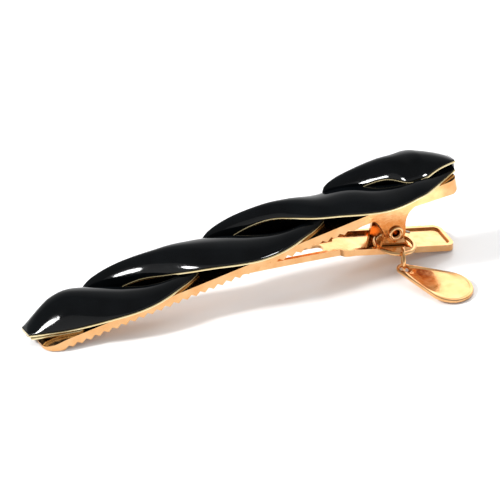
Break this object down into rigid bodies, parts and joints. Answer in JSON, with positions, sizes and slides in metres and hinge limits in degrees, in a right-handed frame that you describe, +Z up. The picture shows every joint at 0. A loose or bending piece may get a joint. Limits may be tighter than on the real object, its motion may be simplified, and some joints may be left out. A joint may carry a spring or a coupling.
{
  "type": "alligator hair clip",
  "caption": "Sprung alligator hair clip: toothed gold jaws on a hinge pin, a black two-strand twist ornament on top, and a teardrop charm on jump rings.",
  "frame": {"origin": "bottom centre of the closed clip's box, on the surface it lies on", "axes": "+X from the jaw tip to the thumb levers, -Y towards the charm, +Z up"},
  "size_m": [0.0938, 0.0278, 0.0233],
  "materials": {
    "jaw_metal": "polished warm gold plating",
    "pin_metal": "polished warm gold plating",
    "spring_wire": "drawn spring wire",
    "strip_metal": "polished pale gold plating",
    "black_enamel": "glossy black resin enamel",
    "ring_metal": "polished warm gold plating",
    "charm_metal": "polished warm gold plating"
  },
  "bodies": {
    "lower": {"lower_jaw": "jaw_metal", "hinge_pin": "pin_metal", "torsion_spring": "spring_wire"},
    "upper": {"upper_jaw": "jaw_metal", "strand_a_backing": "strip_metal", "strand_a_enamel": "black_enamel", "strand_b_backing": "strip_metal", "strand_b_enamel": "black_enamel"},
    "large_ring": {"large_jump_ring": "ring_metal"},
    "small_ring": {"small_jump_ring": "ring_metal"},
    "charm": {"charm": "charm_metal"}
  },
  "joints": [
    {"name": "jaw_hinge", "type": "hinge", "parent": "lower", "child": "upper", "pos_m": [0.03246, 0.00824, 0.008], "axis": [0, 1, 0], "range_deg": [0, 38], "stiffness_Nm_per_rad": 0.06, "springref_deg": -34.38, "deforming": ["torsion_spring"]},
    {"name": "large_ring_tilt", "type": "hinge", "parent": "lower", "child": "large_ring", "pos_m": [0.03246, 0.00454, 0.0051], "axis": [1, 0, 0], "range_deg": [-12, 0]},
    {"name": "small_ring_swing", "type": "hinge", "parent": "large_ring", "child": "small_ring", "pos_m": [0.03246, 0.00049, 0.0051], "axis": [0.9847, 0, -0.1741], "range_deg": [-25, 0]},
    {"name": "charm_swing", "type": "hinge", "parent": "small_ring", "child": "charm", "pos_m": [0.03109, -0.00015, 0.00267], "axis": [0.7771, 0.6294, 0], "range_deg": [-20, 0]}
  ]
}
